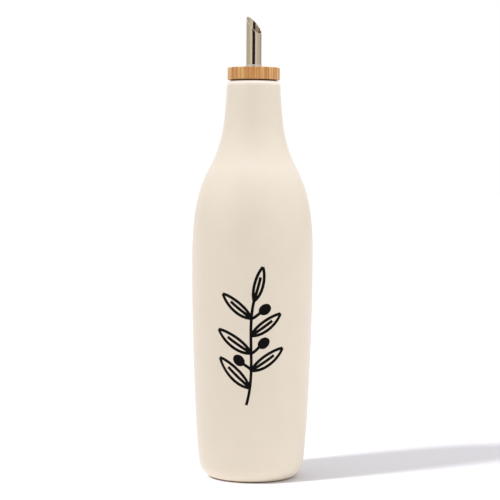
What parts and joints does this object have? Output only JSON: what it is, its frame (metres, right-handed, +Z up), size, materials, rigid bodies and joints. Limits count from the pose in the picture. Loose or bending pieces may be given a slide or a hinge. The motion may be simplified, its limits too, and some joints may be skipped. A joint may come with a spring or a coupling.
{
  "type": "ceramic oil dispenser",
  "caption": "Tall ceramic bottle with a soft shoulder and slim neck, shut by a bamboo collar with a slant-cut steel pouring tube, for serving cooking oil.",
  "frame": {"origin": "centre of the foot, on the surface that the bottle stands on", "axes": "+Z up along the bottle's axis, -Y to the front with the drawn sprig, +X to the viewer's right"},
  "size_m": [0.075, 0.075, 0.2852],
  "materials": {
    "glaze": "satin warm-white glaze over stoneware",
    "seal": "matt dark silicone",
    "bamboo": "satin lacquered bamboo with upright fibres",
    "steel": "polished stainless steel",
    "print": "black fired enamel line"
  },
  "bodies": {
    "root": {"bottle": "glaze", "seal": "seal", "collar": "bamboo", "spout": "steel"}
  },
  "joints": []
}
